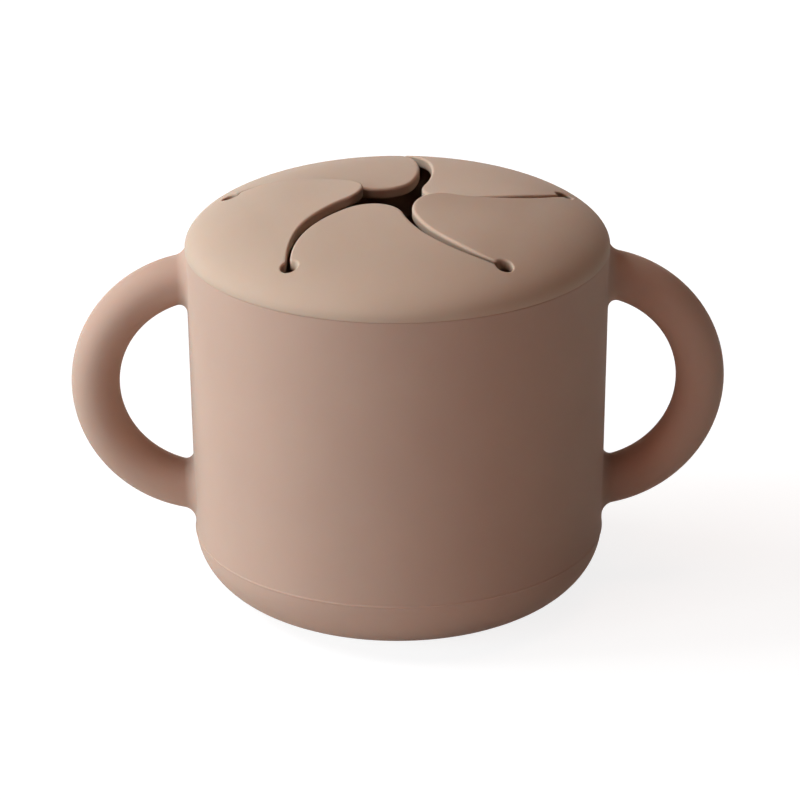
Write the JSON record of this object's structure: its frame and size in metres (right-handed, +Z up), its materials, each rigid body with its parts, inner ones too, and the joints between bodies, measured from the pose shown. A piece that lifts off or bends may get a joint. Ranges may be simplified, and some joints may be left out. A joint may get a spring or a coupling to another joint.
{
  "type": "toddler snack container",
  "caption": "Round soft silicone snack cup with a loop handle on each side and a lid whose domed top is slit into curved flaps a small hand can push through.",
  "frame": {"origin": "centre of the base, on the surface the cup stands on", "axes": "+X along the line through the two handles, +Y towards the back, +Z up the cup's axis through the lid"},
  "size_m": [0.1368, 0.088, 0.0866],
  "materials": {
    "silicone": "matte"
  },
  "bodies": {
    "cup": {"cup_body": "silicone", "left_handle": "silicone", "right_handle": "silicone"},
    "lid": {"lid_rim": "silicone", "lid_plug": "silicone"},
    "flap_1": {"flap_1": "silicone"},
    "flap_2": {"flap_2": "silicone"},
    "flap_3": {"flap_3": "silicone"},
    "flap_4": {"flap_4": "silicone"},
    "flap_5": {"flap_5": "silicone"}
  },
  "joints": [
    {"name": "lid_lift", "type": "slide", "parent": "cup", "child": "lid", "axis": [0, 0, 1], "range_m": [0, 0.035]},
    {"name": "flap_1_flex", "type": "hinge", "parent": "lid", "child": "flap_1", "pos_m": [0, -0.02989, 0.08204], "axis": [-1, 0, 0], "range_deg": [-30, 70], "stiffness_Nm_per_rad": 0.015},
    {"name": "flap_2_flex", "type": "hinge", "parent": "lid", "child": "flap_2", "pos_m": [0.02843, -0.00924, 0.08204], "axis": [-0.309, -0.9511, 0], "range_deg": [-30, 70], "stiffness_Nm_per_rad": 0.015},
    {"name": "flap_3_flex", "type": "hinge", "parent": "lid", "child": "flap_3", "pos_m": [0.01757, 0.02418, 0.08204], "axis": [0.809, -0.5878, 0], "range_deg": [-30, 70], "stiffness_Nm_per_rad": 0.015},
    {"name": "flap_4_flex", "type": "hinge", "parent": "lid", "child": "flap_4", "pos_m": [-0.01757, 0.02418, 0.08204], "axis": [0.809, 0.5878, 0], "range_deg": [-30, 70], "stiffness_Nm_per_rad": 0.015},
    {"name": "flap_5_flex", "type": "hinge", "parent": "lid", "child": "flap_5", "pos_m": [-0.02843, -0.00924, 0.08204], "axis": [-0.309, 0.9511, 0], "range_deg": [-30, 70], "stiffness_Nm_per_rad": 0.015}
  ]
}
